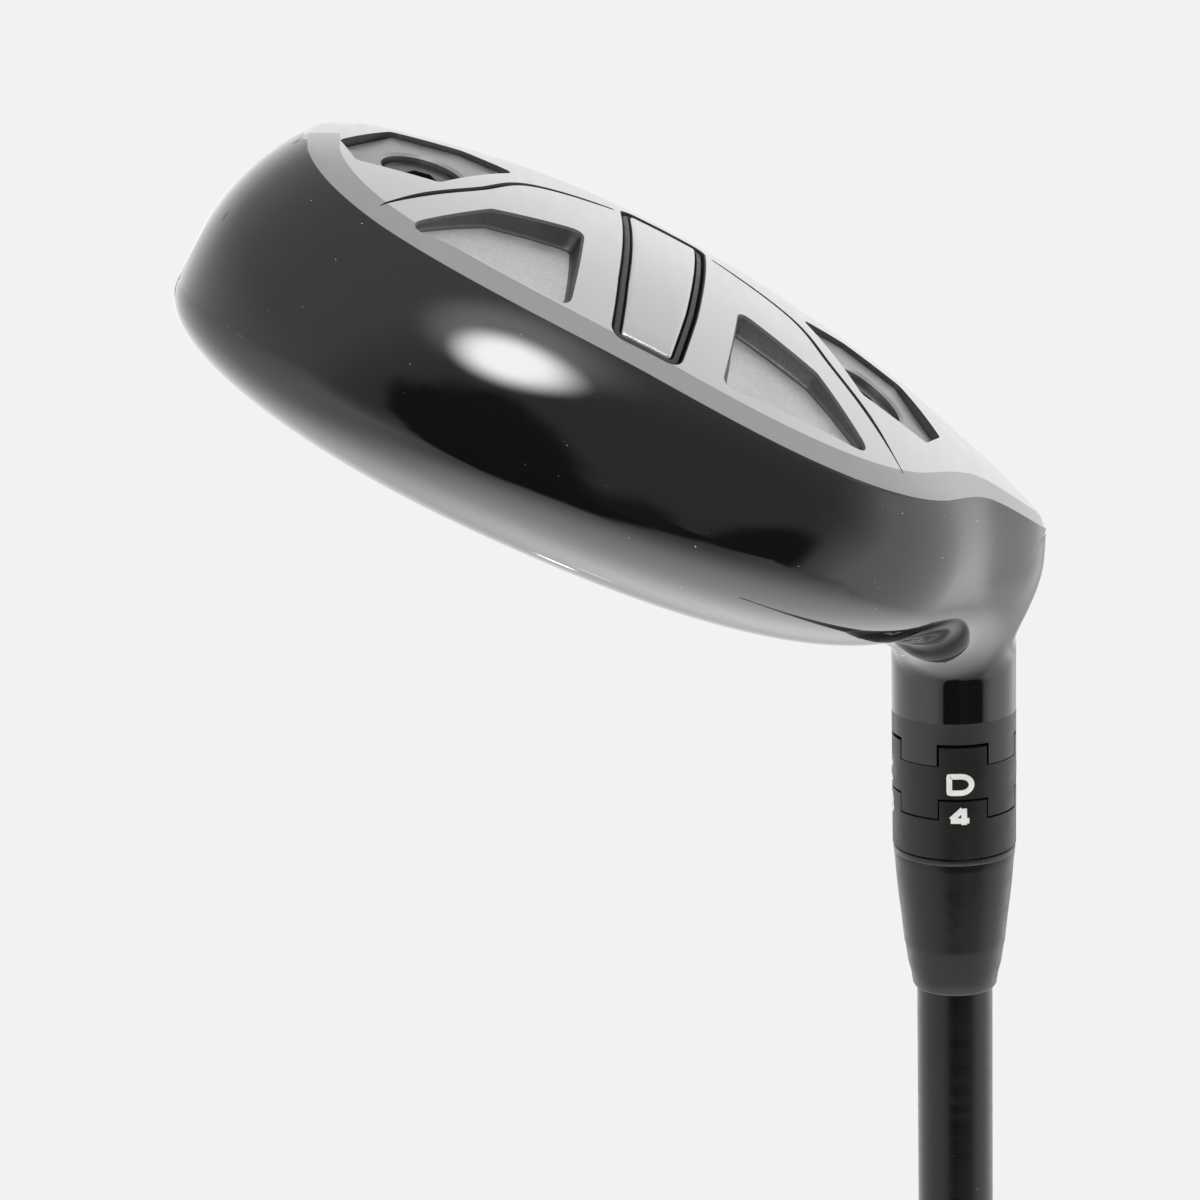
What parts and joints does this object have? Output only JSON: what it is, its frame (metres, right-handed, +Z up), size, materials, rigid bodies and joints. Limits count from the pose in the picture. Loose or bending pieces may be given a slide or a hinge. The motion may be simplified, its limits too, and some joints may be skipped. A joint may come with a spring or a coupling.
{
  "type": "hybrid golf club",
  "caption": "Hybrid golf club with a hollow head, a silver sole with screwed weights, an adjustable hosel sleeve, a composite shaft and a rubber grip.",
  "frame": {"origin": "centre of the grip cap's flat end, on the shaft axis", "axes": "+Z up the shaft from the grip to the head, -Y towards the rear of the head, -X towards its toe, +X towards its heel"},
  "size_m": [0.1012, 0.0568, 1.0547],
  "materials": {
    "sole_casting": "satin machined silver sole; the skirt and hosel of the same casting are painted gloss black",
    "crown_paint": "gloss black paint under clear coat",
    "face_steel": "fine blasted steel with milled score lines",
    "badge_metal": "bright satin plate",
    "gasket_rubber": "matt black",
    "tape": "self-adhesive tape",
    "weight_metal": "satin dark silver",
    "screw_steel": "dark plated steel",
    "ring_metal": "satin black anodised",
    "ferrule_plastic": "polished black",
    "shaft_composite": "black clear-coated composite",
    "plug_rubber": "matt",
    "grip_rubber": "matt textured rubber"
  },
  "bodies": {
    "shaft": {"shaft": "shaft_composite", "shaft_sleeve": "ring_metal", "ferrule": "ferrule_plastic", "shaft_tip_plug": "plug_rubber", "grip_tape": "tape", "grip": "grip_rubber"},
    "head": {"head_body": "sole_casting", "crown_shell": "crown_paint", "face_insert": "face_steel", "sole_badge": "badge_metal", "badge_gasket": "gasket_rubber", "badge_tape": "tape", "hosel_screw_washer": "screw_steel"},
    "hosel_screw": {"hosel_screw": "screw_steel"},
    "adjust_ring": {"adjust_ring": "ring_metal"},
    "toe_weight": {"toe_weight": "weight_metal"},
    "toe_weight_screw": {"toe_weight_screw": "screw_steel"},
    "heel_weight": {"heel_weight": "weight_metal"},
    "heel_weight_screw": {"heel_weight_screw": "screw_steel"}
  },
  "joints": [
    {"name": "head_lift", "type": "slide", "parent": "shaft", "child": "head", "axis": [0, 0, 1], "range_m": [0, 0.036]},
    {"name": "hosel_screw_turn", "type": "hinge", "parent": "head", "child": "hosel_screw", "pos_m": [0, 0, 1.01], "axis": [0, 0, 1], "range_deg": [0, 16524]},
    {"name": "ring_lift", "type": "slide", "parent": "shaft", "child": "adjust_ring", "axis": [0, 0, 1], "range_m": [0, 0.015]},
    {"name": "toe_weight_lift", "type": "slide", "parent": "head", "child": "toe_weight", "axis": [0.293, -0.1831, 0.9384], "range_m": [0, 0.012]},
    {"name": "toe_screw_turn", "type": "hinge", "parent": "toe_weight", "child": "toe_weight_screw", "pos_m": [-0.05957, -0.0156, 1.05122], "axis": [0.293, -0.1831, 0.9384], "range_deg": [0, 6295]},
    {"name": "heel_weight_lift", "type": "slide", "parent": "head", "child": "heel_weight", "axis": [0.6187, -0.1853, 0.7634], "range_m": [0, 0.012]},
    {"name": "heel_screw_turn", "type": "hinge", "parent": "heel_weight", "child": "heel_weight_screw", "pos_m": [-0.01099, -0.0156, 1.02456], "axis": [0.6187, -0.1853, 0.7634], "range_deg": [0, 6295]}
  ],
  "couplings": [
    {"joint": "hosel_screw_turn", "follows": "head_lift", "rad_per_m": 7854},
    {"joint": "ring_lift", "follows": "head_lift", "ratio": 0.4},
    {"joint": "toe_screw_turn", "follows": "toe_weight_lift", "rad_per_m": 8976},
    {"joint": "heel_screw_turn", "follows": "heel_weight_lift", "rad_per_m": 8976}
  ]
}
